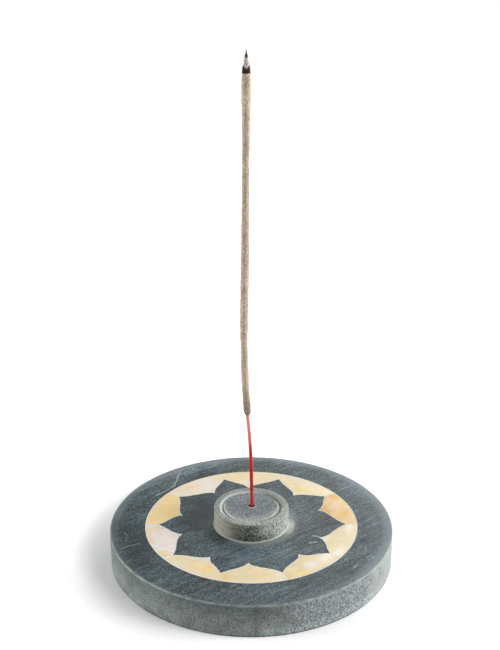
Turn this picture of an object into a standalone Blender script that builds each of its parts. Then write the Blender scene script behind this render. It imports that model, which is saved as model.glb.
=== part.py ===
"""Stone incense-stick holder with a lotus inlay of shell, and a partly burnt incense stick.

Metres, +Z up. The origin is the centre of the underside. The stone is one turned piece: a flat disc
with a boss in its middle and a blind hole for the stick. A ring-shaped recess, whose inner edge is the
outline of a ten-petalled lotus, holds ten pieces of shell on a bed of cement. The stick lifts straight
out of its hole.
"""
from math import cos, hypot, pi, radians, sin

import bmesh
import bpy

MM = 0.001

# Stone disc and boss
DISC_RADIUS = 50.0 * MM
DISC_HEIGHT = 12.0 * MM
DISC_CHAMFER = 0.25 * MM
BOSS_RADIUS = 13.2 * MM
BOSS_HEIGHT = 6.8 * MM
BOSS_CHAMFER = 0.3 * MM
BOSS_FILLET = 0.45 * MM
GROOVE_OUTER_RADIUS = 11.4 * MM
GROOVE_INNER_RADIUS = 9.5 * MM
GROOVE_WALL_SLOPE = 0.5 * MM
GROOVE_DEPTH = 0.8 * MM

# Blind hole for the stick
HOLE_RADIUS = 1.05 * MM
HOLE_DEPTH = 14.0 * MM

# Lotus inlay: five wide petals with five narrow ones between them, tips evenly spaced
PETALS = 10
INLAY_RADIUS = 37.65 * MM
# Each petal's edge is a cubic Bezier from its tip to its valley: radius in millimetres, and
# degrees from the petal's own axis
WIDE_EDGE = [(33.3, 0.0), (29.1, 6.1), (28.6, 16.4), (25.3, 20.7)]
NARROW_EDGE = [(33.3, 0.0), (29.6, 5.3), (28.9, 10.9), (25.3, 15.3)]
POINTS_PER_EDGE = 9
RECESS_DEPTH = 2.0 * MM
BED_THICKNESS = 0.4 * MM
PEARL_THICKNESS = 1.0 * MM
GAP = 0.3 * MM

# Stick
BAMBOO_RADIUS = 0.6 * MM
BAMBOO_TIP_RADIUS = 0.33 * MM
PASTE_BORE_RADIUS = 0.78 * MM
PASTE_BOTTOM = 54.4 * MM
PASTE_TAPER = 2.1 * MM
CHAR_BOTTOM = 169.9 * MM
CHAR_RADII = (1.32 * MM, 1.12 * MM)
ASH_BOTTOM = 171.8 * MM
ASH_RADII = (1.02 * MM, 0.86 * MM)
ASH_TOP = 174.4 * MM
STICK_TOP = 176.9 * MM
RING_SPACING = 6.0 * MM

# Where the stick's centre line runs: height, and how far it has strayed along X
STICK_LINE = [
    (0.0, 0.25), (20.0, 0.2), (42.0, -0.35), (55.0, -1.35), (68.0, -2.1), (86.0, -2.45),
    (105.0, -2.15), (130.0, -1.9), (160.0, -1.7), (180.0, -1.6),
]
# Radius of the paste along its length: height and radius
PASTE_LINE = [
    (54.4, 1.0), (57.0, 1.33), (59.0, 1.36), (62.5, 1.22), (70.0, 1.30), (77.5, 1.17), (90.0, 1.37),
    (104.0, 1.40), (124.0, 1.30), (144.0, 1.19), (158.0, 1.32), (165.5, 1.48), (169.9, 1.36),
]

# Facets
TURNED_SEGMENTS = 100
STICK_SEGMENTS = 12
FILLET_STEPS = 3
SHARP_ANGLE = radians(30.0)
MERGE_DISTANCE = 0.001 * MM
EMPTY_SIZE = 5.0 * MM

BOSS_TOP = DISC_HEIGHT + BOSS_HEIGHT
HOLE_FLOOR = BOSS_TOP - HOLE_DEPTH
RECESS_FLOOR = DISC_HEIGHT - RECESS_DEPTH
BED_BOTTOM = RECESS_FLOOR + GAP
PEARL_BOTTOM = DISC_HEIGHT - PEARL_THICKNESS
PETAL_ANGLE = 2.0 * pi / PETALS


def clear_scene():
    for thing in list(bpy.data.objects):
        bpy.data.objects.remove(thing, do_unlink=True)


def make_material(name, colour, roughness):
    material = bpy.data.materials.new(name)
    material.use_nodes = True
    shader = material.node_tree.nodes["Principled BSDF"]
    shader.inputs["Base Color"].default_value = (*colour, 1.0)
    shader.inputs["Roughness"].default_value = roughness
    shader.inputs["Metallic"].default_value = 0.0
    material.diffuse_color = (*colour, 1.0)
    return material


def make_object(name, mesh, material, parent):
    thing = bpy.data.objects.new(name, mesh)
    bpy.context.scene.collection.objects.link(thing)
    mesh.materials.append(material)
    mesh.shade_smooth()
    mesh.set_sharp_from_angle(angle=SHARP_ANGLE)
    thing.parent = parent
    return thing


def make_empty(name):
    empty = bpy.data.objects.new(name, None)
    bpy.context.scene.collection.objects.link(empty)
    empty.empty_display_size = EMPTY_SIZE
    return empty


def mesh_from(name, bm):
    bmesh.ops.recalc_face_normals(bm, faces=bm.faces)
    mesh = bpy.data.meshes.new(name)
    bm.to_mesh(mesh)
    bm.free()
    return mesh


def turned_mesh(name, profile):
    """Spin an open (radius, height) profile, whose two ends lie on the axis, once round Z."""
    bm = bmesh.new()
    points = [bm.verts.new((radius, 0.0, height)) for radius, height in profile]
    edges = [bm.edges.new(pair) for pair in zip(points, points[1:])]
    bmesh.ops.spin(
        bm, geom=points + edges, cent=(0.0, 0.0, 0.0), axis=(0.0, 0.0, 1.0),
        angle=2.0 * pi, steps=TURNED_SEGMENTS, use_merge=True,
    )
    bmesh.ops.remove_doubles(bm, verts=bm.verts, dist=MERGE_DISTANCE)
    return mesh_from(name, bm)


def slab_mesh(name, outline, bottom, top):
    """A flat slab from one closed outline."""
    bm = bmesh.new()
    face = bm.faces.new([bm.verts.new((x, y, bottom)) for x, y in outline])
    walls = bmesh.ops.extrude_face_region(bm, geom=[face])
    raised = [item for item in walls["geom"] if isinstance(item, bmesh.types.BMVert)]
    bmesh.ops.translate(bm, verts=raised, vec=(0.0, 0.0, top - bottom))
    return mesh_from(name, bm)


def ring_slab_mesh(name, inner, outer, bottom, top):
    """A flat slab between two closed outlines, both as points running round from +X."""
    bm = bmesh.new()
    loops = []
    for outline in (inner, outer):
        points = [bm.verts.new((x, y, bottom)) for x, y in outline]
        loops += [bm.edges.new(pair) for pair in zip(points, points[1:] + points[:1])]
    faces = bmesh.ops.triangle_fill(bm, edges=loops, use_beauty=True)["geom"]
    faces = [item for item in faces if isinstance(item, bmesh.types.BMFace)]
    walls = bmesh.ops.extrude_face_region(bm, geom=faces)
    raised = [item for item in walls["geom"] if isinstance(item, bmesh.types.BMVert)]
    bmesh.ops.translate(bm, verts=raised, vec=(0.0, 0.0, top - bottom))
    return mesh_from(name, bm)


def circle_points(radius, count):
    return [(radius * cos(2.0 * pi * i / count), radius * sin(2.0 * pi * i / count)) for i in range(count)]


def turned_by(point, angle):
    x, y = point
    return (x * cos(angle) - y * sin(angle), x * sin(angle) + y * cos(angle))


def smooth_value(line, at):
    """Read a curve through hand-set (position, value) points, in millimetres, by cubic Hermite pieces."""
    at = min(max(at, line[0][0]), line[-1][0])
    for i in range(len(line) - 1):
        if at <= line[i + 1][0]:
            break
    before, start, end, after = line[max(i - 1, 0)], line[i], line[i + 1], line[min(i + 2, len(line) - 1)]
    span = end[0] - start[0]
    start_slope = (end[1] - before[1]) / (end[0] - before[0]) * span
    end_slope = (after[1] - start[1]) / (after[0] - start[0]) * span
    t = (at - start[0]) / span
    return (
        (2 * t**3 - 3 * t**2 + 1) * start[1] + (t**3 - 2 * t**2 + t) * start_slope
        + (3 * t**2 - 2 * t**3) * end[1] + (t**3 - t**2) * end_slope
    )


def petal_edge(index, offset=0.0):
    """One side of a petal lying along +X, from its tip to its valley, moved outwards by the offset."""
    handles = []
    for radius, degrees in WIDE_EDGE if index % 2 == 0 else NARROW_EDGE:
        handles.append(turned_by((radius * MM, 0.0), radians(degrees)))
    points = []
    for i in range(POINTS_PER_EDGE + 1):
        t = i / POINTS_PER_EDGE
        weights = ((1 - t) ** 3, 3 * t * (1 - t) ** 2, 3 * t**2 * (1 - t), t**3)
        slopes = (-((1 - t) ** 2), (1 - t) * (1 - 3 * t), t * (2 - 3 * t), t**2)
        x, y = (sum(w * handle[axis] for w, handle in zip(weights, handles)) for axis in (0, 1))
        along_x, along_y = (sum(s * handle[axis] for s, handle in zip(slopes, handles)) for axis in (0, 1))
        length = hypot(along_x, along_y)
        points.append((x + offset * along_y / length, y - offset * along_x / length))
    return points


def mirrored(points):
    """The same edge on the petal's other side, running from valley to tip."""
    return [(x, -y) for x, y in reversed(points)]


def across_valley(first, second):
    """Join a petal's edge to the facing edge of the next petal, tip to valley to tip."""
    return first + [turned_by(point, PETAL_ANGLE) for point in mirrored(second)]


def lotus_outline():
    """The edge of all the petals, running round from the tip on +X."""
    outline = []
    for index in range(PETALS):
        edges = across_valley(petal_edge(index)[:-1], petal_edge(index + 1))
        outline += [turned_by(point, PETAL_ANGLE * index) for point in edges[:-1]]
    return outline


def edge_clear_of_stone(index, joint):
    """A petal's edge moved one gap outwards, kept clear of the seam at its tip and of its valley's line."""
    valley_angle = radians((WIDE_EDGE if index % 2 == 0 else NARROW_EDGE)[-1][1])
    kept = []
    for x, y in petal_edge(index, offset=GAP):
        from_valley_line = x * sin(valley_angle) - y * cos(valley_angle)
        if y >= joint and from_valley_line >= joint:
            kept.append((x, y))
    return kept


def pearl_outline(index):
    """One shell piece, which fills the space between two petals out to the ring's edge."""
    joint = GAP / 2.0
    first = edge_clear_of_stone(index, joint)
    second = edge_clear_of_stone(index + 1, joint)
    seam_start = (first[0][0] + joint, joint)
    seam_end = turned_by((second[0][0] + joint, -joint), PETAL_ANGLE)
    radius = INLAY_RADIUS - GAP
    first_angle = joint / radius
    rim_steps = TURNED_SEGMENTS // PETALS
    rim = []
    for i in range(rim_steps + 1):
        angle = first_angle + (PETAL_ANGLE - 2.0 * first_angle) * i / rim_steps
        rim.append((radius * cos(angle), radius * sin(angle)))
    outline = [seam_start] + rim + [seam_end] + list(reversed(across_valley(first, second)))
    return [turned_by(point, PETAL_ANGLE * index) for point in outline]


def cement_outline():
    """The inner edge of the cement bed: the lotus, one gap clear of the stone."""
    tip = (WIDE_EDGE[0][0] * MM + 2.0 * GAP, 0.0)
    outline = []
    for index in range(PETALS):
        edges = across_valley(edge_clear_of_stone(index, 0.0), edge_clear_of_stone(index + 1, 0.0))
        outline += [turned_by(point, PETAL_ANGLE * index) for point in [tip] + edges]
    return outline


def stone_profile():
    """Half section of the turned stone, from the hole's floor over the boss and disc to the underside."""
    groove_floor = BOSS_TOP - GROOVE_DEPTH
    profile = [
        (0.0, HOLE_FLOOR),
        (HOLE_RADIUS, HOLE_FLOOR),
        (HOLE_RADIUS, BOSS_TOP),
        (GROOVE_INNER_RADIUS, BOSS_TOP),
        (GROOVE_INNER_RADIUS + GROOVE_WALL_SLOPE, groove_floor),
        (GROOVE_OUTER_RADIUS - GROOVE_WALL_SLOPE, groove_floor),
        (GROOVE_OUTER_RADIUS, BOSS_TOP),
        (BOSS_RADIUS - BOSS_CHAMFER, BOSS_TOP),
        (BOSS_RADIUS, BOSS_TOP - BOSS_CHAMFER),
    ]
    for i in range(FILLET_STEPS + 1):
        angle = 0.5 * pi * i / FILLET_STEPS
        profile.append((
            BOSS_RADIUS + BOSS_FILLET * (1.0 - cos(angle)),
            DISC_HEIGHT + BOSS_FILLET * (1.0 - sin(angle)),
        ))
    profile += [
        (DISC_RADIUS - DISC_CHAMFER, DISC_HEIGHT),
        (DISC_RADIUS, DISC_HEIGHT - DISC_CHAMFER),
        (DISC_RADIUS, DISC_CHAMFER),
        (DISC_RADIUS - DISC_CHAMFER, 0.0),
        (0.0, 0.0),
    ]
    return profile


def make_stone(material, parent):
    """The holder itself, with the recess for the inlay cut from the turned blank."""
    stone = make_object("stone_base", turned_mesh("stone_base", stone_profile()), material, parent)
    recess = ring_slab_mesh(
        "recess_cutter", lotus_outline(), circle_points(INLAY_RADIUS, TURNED_SEGMENTS),
        RECESS_FLOOR, DISC_HEIGHT + RECESS_DEPTH,
    )
    cutter = bpy.data.objects.new("recess_cutter", recess)
    bpy.context.scene.collection.objects.link(cutter)
    cutter.hide_render = True
    cutter.display_type = "WIRE"
    cut = stone.modifiers.new("inlay_recess", "BOOLEAN")
    cut.operation = "DIFFERENCE"
    cut.solver = "EXACT"
    cut.object = cutter


def make_cement(material, parent):
    """The bed under the shell, one gap clear of the recess all round."""
    outer = circle_points(INLAY_RADIUS - GAP, TURNED_SEGMENTS)
    mesh = ring_slab_mesh("inlay_cement", cement_outline(), outer, BED_BOTTOM, BED_BOTTOM + BED_THICKNESS)
    make_object("inlay_cement", mesh, material, parent)


def make_pearls(material, parent):
    for index in range(PETALS):
        name = f"pearl_inlay_{index + 1:02d}"
        mesh = slab_mesh(name, pearl_outline(index), PEARL_BOTTOM, DISC_HEIGHT)
        make_object(name, mesh, material, parent)


def stick_levels(bottom, top):
    """Heights of the rings of one length of stick, evenly spaced."""
    count = max(1, round((top - bottom) / RING_SPACING))
    return [bottom + (top - bottom) * i / count for i in range(count + 1)]


def stick_ring(bm, height, radius):
    """One level ring of points round the stick's centre line."""
    centre = smooth_value(STICK_LINE, height / MM) * MM
    ring = []
    for i in range(STICK_SEGMENTS):
        angle = 2.0 * pi * i / STICK_SEGMENTS
        ring.append(bm.verts.new((centre + radius * cos(angle), radius * sin(angle), height)))
    return ring


def join_rings(bm, first, second):
    for i in range(len(first)):
        j = (i + 1) % len(first)
        bm.faces.new((first[i], first[j], second[j], second[i]))


def rod_mesh(name, sections):
    """A solid rod along the stick's centre line, from (height, radius) sections."""
    bm = bmesh.new()
    rings = [stick_ring(bm, height, radius) for height, radius in sections]
    for lower, upper in zip(rings, rings[1:]):
        join_rings(bm, lower, upper)
    bm.faces.new(rings[0])
    bm.faces.new(rings[-1])
    return mesh_from(name, bm)


def sleeve_mesh(name, sections):
    """A tube along the stick's centre line, bored to clear the bamboo."""
    bm = bmesh.new()
    outside = [stick_ring(bm, height, radius) for height, radius in sections]
    inside = [stick_ring(bm, height, PASTE_BORE_RADIUS) for height, _ in sections]
    loop = outside + list(reversed(inside))
    for first, second in zip(loop, loop[1:] + loop[:1]):
        join_rings(bm, first, second)
    return mesh_from(name, bm)


def make_stick(materials, parent):
    """Bamboo core, and the paste, charred paste and ash on it, each half a gap clear of the next."""
    joint = GAP / 2.0
    core = [(height, BAMBOO_RADIUS) for height in stick_levels(HOLE_FLOOR + GAP, ASH_BOTTOM)]
    core += [(ASH_TOP, 0.5 * (BAMBOO_RADIUS + BAMBOO_TIP_RADIUS)), (STICK_TOP, BAMBOO_TIP_RADIUS)]
    make_object("bamboo_core", rod_mesh("bamboo_core", core), materials["bamboo"], parent)

    levels = [PASTE_BOTTOM] + stick_levels(PASTE_BOTTOM + PASTE_TAPER, CHAR_BOTTOM - joint)
    paste = [(height, smooth_value(PASTE_LINE, height / MM) * MM) for height in levels]
    make_object("incense_paste", sleeve_mesh("incense_paste", paste), materials["paste"], parent)

    charred = list(zip((CHAR_BOTTOM + joint, ASH_BOTTOM - joint), CHAR_RADII))
    make_object("charred_paste", sleeve_mesh("charred_paste", charred), materials["char"], parent)

    ash = list(zip((ASH_BOTTOM + joint, ASH_TOP), ASH_RADII))
    make_object("ash_tip", sleeve_mesh("ash_tip", ash), materials["ash"], parent)


def main():
    clear_scene()
    materials = {
        "stone": make_material("stone", (0.15, 0.18, 0.185), 0.7),
        "pearl": make_material("pearl", (0.85, 0.72, 0.52), 0.2),
        "cement": make_material("cement", (0.75, 0.72, 0.64), 0.8),
        "bamboo": make_material("bamboo", (0.45, 0.03, 0.03), 0.6),
        "paste": make_material("paste", (0.36, 0.29, 0.22), 0.95),
        "char": make_material("char", (0.04, 0.03, 0.025), 0.95),
        "ash": make_material("ash", (0.5, 0.45, 0.4), 1.0),
    }
    base = make_empty("base")
    stick = make_empty("stick")
    make_stone(materials["stone"], base)
    make_cement(materials["cement"], base)
    make_pearls(materials["pearl"], base)
    make_stick(materials, stick)


main()
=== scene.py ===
"""Looks of the stone incense-stick holder: turned soapstone, a shell lotus inlay and a part-burnt stick."""
from math import cos, hypot, pi, radians, sin, atan2

import bmesh
import bpy
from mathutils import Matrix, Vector, noise


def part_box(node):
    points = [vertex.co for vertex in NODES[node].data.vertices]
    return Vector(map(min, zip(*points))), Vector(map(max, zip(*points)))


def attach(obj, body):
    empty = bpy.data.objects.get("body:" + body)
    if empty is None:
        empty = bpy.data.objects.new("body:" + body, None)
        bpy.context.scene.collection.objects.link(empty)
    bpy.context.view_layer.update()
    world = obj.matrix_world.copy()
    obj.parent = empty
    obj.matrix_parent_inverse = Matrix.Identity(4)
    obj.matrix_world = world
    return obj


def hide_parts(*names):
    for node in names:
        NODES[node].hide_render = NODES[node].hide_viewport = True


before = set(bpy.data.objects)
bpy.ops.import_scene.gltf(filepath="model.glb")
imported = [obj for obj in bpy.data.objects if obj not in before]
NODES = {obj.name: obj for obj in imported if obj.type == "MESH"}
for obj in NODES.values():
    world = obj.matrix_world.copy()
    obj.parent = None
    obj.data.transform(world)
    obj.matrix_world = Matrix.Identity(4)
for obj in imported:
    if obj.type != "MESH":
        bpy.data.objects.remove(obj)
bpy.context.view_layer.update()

MM = 0.001
TURN = 2.0 * pi
WHITE = (1.0, 1.0, 1.0, 1.0)

# ---- sizes read from the frame
PEARL_NAMES = sorted(name for name in NODES if name.startswith("pearl_inlay_"))
STONE_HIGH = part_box("stone_base")[1]
PEARL_LOW, PEARL_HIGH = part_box(PEARL_NAMES[0])
BED_LOW, BED_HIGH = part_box("inlay_cement")
DISC_RADIUS = STONE_HIGH.x
DISC_TOP = PEARL_HIGH.z
BOSS_TOP = STONE_HIGH.z
PEARL_BOTTOM = PEARL_LOW.z
CAD_GAP = 0.3 * MM
INLAY_RADIUS = BED_HIGH.x + CAD_GAP
RECESS_FLOOR = BED_LOW.z - CAD_GAP
HOLE_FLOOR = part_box("bamboo_core")[0].z - CAD_GAP

# ---- sizes of the finer shapes
BOSS_RADIUS = 13.2 * MM
BOSS_FILLET = 0.12 * MM
GROOVE_OUTER = 11.3 * MM
GROOVE_INNER = 9.5 * MM
GROOVE_DEPTH = 0.8 * MM
GROOVE_ARRIS = 0.3 * MM
HOLE_RADIUS = 1.12 * MM
HOLE_DRIFT = (0.13 * MM, 0.28 * MM)
DRIFT_FULL = 1.5 * MM  # the stone is moved by the whole drift inside this radius
DRIFT_NONE = 6.0 * MM  # and not at all outside this one
BOSS_ARRIS = 0.28 * MM
RIM_ARRIS = 0.22 * MM
RIM_DROP = 0.06 * MM
FOOT_ROUND = 0.4 * MM
SHELL_ARRIS = 0.05 * MM
JOINT = 0.18 * MM  # half the cement line between two shell pieces
FILLER = 0.36 * MM  # cement between the shell and the stone
NIB_CUT = 0.9  # how much of a petal's edge the shell follows before its nib is blunt
SUNK = 0.02 * MM  # the cement is this much below the polish
PASTE_END = 0.62 * MM
# The bared end of the core: (share of its height, radius in millimetres)
WICK = [(0.2, 0.52), (0.4, 0.47), (0.5, 0.38), (0.6, 0.23), (0.8, 0.19), (0.93, 0.17), (1.0, 0.08)]
# The char collar, up its outside and down its inside: (share of its height, radius in millimetres,
# how far that ring rises at the two sides in millimetres)
COLLAR = [
    (0.0, 1.33, 0.0), (0.2, 1.34, 0.1), (0.45, 1.27, 0.4), (0.7, 1.19, 0.7),
    (1.0, 1.09, 1.0), (1.0, 1.00, 0.9), (0.6, 0.90, 0.2),
]

# The lotus is cut by hand, a little off centre, and each tip and valley strays from the regular figure.
# Each is (radius in millimetres, degrees), seen from the lotus's own centre.
LOTUS_CENTRE = (0.2 * MM, -0.6 * MM)
TIPS = [
    (33.4, -0.5), (33.3, 35.2), (34.0, 72.3), (33.8, 108.1), (33.1, 144.8),
    (33.1, 181.2), (33.6, 217.2), (32.7, 251.5), (32.4, 288.2), (32.7, 324.1),
]
VALLEYS = [
    (25.5, 20.9), (25.1, 52.2), (25.5, 92.6), (25.5, 122.8), (25.4, 167.0),
    (25.2, 196.0), (25.5, 236.6), (24.9, 267.3), (25.3, 308.4), (25.1, 338.6),
]
EDGE_WOBBLE = 0.2 * MM
EDGE_STEPS = 24
SEAM_STEPS = 5
RIM_STEPS = 40
PETAL_RINGS = 22
PETALS = len(TIPS)


# ---- mesh helpers
def new_object(name, bm, body, replaced, material, smooth_angle=35.0):
    bmesh.ops.recalc_face_normals(bm, faces=bm.faces)
    mesh = bpy.data.meshes.new(name)
    bm.to_mesh(mesh)
    bm.free()
    mesh.materials.append(material)
    mesh.shade_smooth()
    mesh.set_sharp_from_angle(angle=radians(smooth_angle))
    piece = bpy.data.objects.new(name, mesh)
    bpy.context.scene.collection.objects.link(piece)
    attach(piece, body)
    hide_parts(replaced)
    return piece


def add_ring(bm, points):
    return [bm.verts.new(point) for point in points]


def bridge(bm, first, second):
    """Quads between two closed rings of equal length."""
    count = len(first)
    for i in range(count):
        j = (i + 1) % count
        bm.faces.new((first[i], first[j], second[j], second[i]))


def fan(bm, ring, centre):
    hub = bm.verts.new(centre)
    for i in range(len(ring)):
        bm.faces.new((ring[i], ring[(i + 1) % len(ring)], hub))


def bumps(x, y, z, size, seed=0.0):
    """Smooth noise from -1 to 1, with features about as large as size."""
    return noise.noise(Vector((x / size + seed, y / size - seed, z / size + 2.0 * seed)))


def polar(radius, angle, centre=(0.0, 0.0)):
    return (centre[0] + radius * cos(angle), centre[1] + radius * sin(angle))


# ---- lotus outline
def lotus_point(entry):
    return polar(entry[0] * MM, radians(entry[1]), LOTUS_CENTRE)


def bezier(handles, t):
    weights = ((1 - t) ** 3, 3 * t * (1 - t) ** 2, 3 * t**2 * (1 - t), t**3)
    slopes = (-((1 - t) ** 2), (1 - t) * (1 - 3 * t), t * (2 - 3 * t), t**2)
    point = [sum(w * h[axis] for w, h in zip(weights, handles)) for axis in (0, 1)]
    along = [sum(s * h[axis] for s, h in zip(slopes, handles)) for axis in (0, 1)]
    length = max(hypot(*along), 1e-9)
    return point, (along[0] / length, along[1] / length)


def petal_handles(tip, valley):
    """Bezier handles of a petal's edge. Both are (radius, degrees); even petals are the wide ones."""
    tip_radius, tip_angle = TIPS[tip % PETALS]
    valley_radius, valley_angle = VALLEYS[valley % PETALS]
    swing = (valley_angle - tip_angle + 180.0) % 360.0 - 180.0
    if tip % 2 == 0:
        near, far = (tip_radius - 4.4, 0.28), (valley_radius + 3.5, 0.82)
    else:
        near, far = (tip_radius - 3.7, 0.35), (valley_radius + 3.9, 0.75)
    return [
        lotus_point((tip_radius, tip_angle)),
        lotus_point((near[0], tip_angle + near[1] * swing)),
        lotus_point((far[0], tip_angle + far[1] * swing)),
        lotus_point((valley_radius, valley_angle)),
    ]


def edge_points(tip, valley, side, offset=0.0, reach=1.0):
    """From the tip towards the valley; side is +1 where the edge runs anticlockwise."""
    handles = petal_handles(tip, valley)
    points = []
    for i in range(EDGE_STEPS + 1):
        (x, y), (along_x, along_y) = bezier(handles, reach * i / EDGE_STEPS)
        wobble = EDGE_WOBBLE * bumps(x, y, 0.0, 1.3 * MM, 3.0) * sin(pi * i / EDGE_STEPS) ** 0.5
        shift = offset + wobble
        points.append((x + side * shift * along_y, y - side * shift * along_x))
    return points


def lotus_outline():
    outline = []
    for k in range(PETALS):
        outline += edge_points(k, k, 1)[:-1]
        outline += list(reversed(edge_points(k + 1, k, -1)))[:-1]
    return outline


# ---- node helpers
class Shader:
    """Short names for building one procedural material."""

    def __init__(self, name):
        self.material = bpy.data.materials.new(name)
        self.material.use_nodes = True
        self.tree = self.material.node_tree
        self.surface = self.tree.nodes["Principled BSDF"]
        coords = self.tree.nodes.new("ShaderNodeTexCoord")
        self.place = coords.outputs["Object"]
        split = self.node("ShaderNodeSeparateXYZ", {"Vector": self.place})
        self.x, self.y, self.z = split.outputs

    def node(self, kind, inputs, **settings):
        made = self.tree.nodes.new(kind)
        for key, value in settings.items():
            setattr(made, key, value)
        for key, value in inputs.items():
            self.plug(made.inputs[key], value)
        return made

    def plug(self, socket, value):
        if isinstance(value, bpy.types.NodeSocket):
            self.tree.links.new(value, socket)
        elif isinstance(value, (tuple, list)) and socket.type == "RGBA":
            socket.default_value = (*value, 1.0)[:4]
        else:
            socket.default_value = value

    def math(self, operation, a, b=0.0):
        return self.node("ShaderNodeMath", {0: a, 1: b}, operation=operation).outputs[0]

    def add(self, *values):
        total = values[0]
        for value in values[1:]:
            total = self.math("ADD", total, value)
        return total

    def minus(self, a, b):
        return self.math("SUBTRACT", a, b)

    def most(self, a, b):
        return self.math("MAXIMUM", a, b)

    def times(self, *values):
        total = values[0]
        for value in values[1:]:
            total = self.math("MULTIPLY", total, value)
        return total

    def band(self, value, low, high, out_low=0.0, out_high=1.0):
        """A smooth step from out_low to out_high as value runs from low to high."""
        if low > high:
            low, high, out_low, out_high = high, low, out_high, out_low
        inputs = {
            "Value": value, "From Min": low, "From Max": high, "To Min": out_low, "To Max": out_high,
        }
        made = self.node("ShaderNodeMapRange", inputs, interpolation_type="SMOOTHSTEP")
        return made.outputs["Result"]

    def window(self, value, low, high, soft):
        """1 between low and high, falling to 0 over soft outside them."""
        return self.times(self.band(value, low - soft, low), self.band(value, high + soft, high))

    def noise(self, size, detail=3.0, roughness=0.55, distortion=0.0, turn=0.0, long=None, shift=None):
        """Cloudy noise from 0 to 1 with features about as large as size, in metres.

        long stretches them along the axes, after a turn about the vertical in degrees.
        """
        place = self.place
        if long is not None or shift is not None:
            inputs = {
                "Vector": place, "Rotation": (0.0, 0.0, radians(turn)),
                "Scale": long or (1.0, 1.0, 1.0), "Location": shift or (0.0, 0.0, 0.0),
            }
            place = self.node("ShaderNodeMapping", inputs, vector_type="TEXTURE").outputs[0]
        inputs = {
            "Vector": place, "Scale": 1.0 / size, "Detail": detail,
            "Roughness": roughness, "Distortion": distortion,
        }
        return self.node("ShaderNodeTexNoise", inputs).outputs["Fac"]

    def stray(self, value, amount):
        """How far a noise strays from its middle, times amount."""
        return self.times(self.minus(value, 0.5), amount)

    def cells(self, size):
        inputs = {"Vector": self.place, "Scale": 1.0 / size}
        return self.node("ShaderNodeTexVoronoi", inputs, feature="F1").outputs["Distance"]

    def mix(self, factor, a, b, blend="MIX"):
        made = self.node("ShaderNodeMix", {}, data_type="RGBA", blend_type=blend)
        self.plug(made.inputs["Factor"], factor)
        colours = [socket for socket in made.inputs if socket.type == "RGBA"]
        self.plug(colours[0], a)
        self.plug(colours[1], b)
        return next(socket for socket in made.outputs if socket.type == "RGBA")

    def tint(self, colour, by):
        """The colour multiplied by another."""
        return self.mix(1.0, colour, by, "MULTIPLY")

    def shade(self, colour, amount):
        """The colour multiplied by a grey amount."""
        grey = self.node("ShaderNodeCombineColor", {"Red": amount, "Green": amount, "Blue": amount})
        return self.tint(colour, grey.outputs[0])

    def ramp(self, factor, stops):
        made = self.node("ShaderNodeValToRGB", {"Fac": factor})
        elements = made.color_ramp.elements
        while len(elements) < len(stops):
            elements.new(0.5)
        for element, (position, colour) in zip(elements, stops):
            element.position = position
            element.color = (*colour, 1.0)
        return made.outputs["Color"]

    def radius(self, centre=(0.0, 0.0)):
        dx = self.minus(self.x, centre[0])
        dy = self.minus(self.y, centre[1])
        return self.math("SQRT", self.add(self.times(dx, dx), self.times(dy, dy)))

    def spot(self, centre, size, softness):
        """1 inside a round patch about centre, falling to 0 over softness."""
        return self.band(self.radius(centre), size + softness, size)

    def turned(self, origin, angle):
        """How far the point is from origin along a direction on the top face, and across it."""
        dx, dy = self.minus(self.x, origin[0]), self.minus(self.y, origin[1])
        ux, uy = cos(angle), sin(angle)
        along = self.add(self.times(dx, ux), self.times(dy, uy))
        return along, self.minus(self.times(dy, ux), self.times(dx, uy))

    def blot(self, centre, half_length, half_width, lean, warp):
        """1 in the middle of a soft ellipse turned by lean degrees, its edge moved by warp."""
        along, across = self.turned(centre, radians(lean))
        a, b = self.times(along, 1.0 / half_length), self.times(across, 1.0 / half_width)
        reach = self.math("SQRT", self.add(self.times(a, a), self.times(b, b)))
        return self.band(self.add(reach, warp), 1.4, 0.1)

    def stroke(self, start, end, bend, width, warp):
        """1 on a thin line from start to end on the top face, bowed by bend and shifted by warp."""
        run, rise = end[0] - start[0], end[1] - start[1]
        along, across = self.turned(start, atan2(rise, run))
        share = self.math("DIVIDE", along, hypot(run, rise))
        bow = self.times(share, self.minus(1.0, share), 4.0 * bend)
        across = self.add(self.minus(across, bow), warp)
        line = self.band(self.math("ABSOLUTE", across), width, 0.3 * width)
        return self.times(line, self.window(share, 0.1, 0.9, 0.1))

    def finish(self, colour, roughness, height=None, depth=0.05 * MM, specular=0.5):
        self.plug(self.surface.inputs["Base Color"], colour)
        self.plug(self.surface.inputs["Roughness"], roughness)
        self.surface.inputs["Specular IOR Level"].default_value = specular
        if height is not None:
            bump = self.node("ShaderNodeBump", {"Height": height, "Distance": depth})
            self.tree.links.new(bump.outputs["Normal"], self.surface.inputs["Normal"])
        return self.material


# ---- stone materials
def all_blots(s, patches, stray, operation):
    """Blots put together, each (strength, centre in mm, half length, half width, lean in degrees)."""
    total = 0.0
    for strength, (x, y), along, across, lean in patches:
        patch = s.blot((x * MM, y * MM), along * MM, across * MM, lean, stray)
        total = s.math(operation, total, s.times(patch, strength))
    return total


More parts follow.
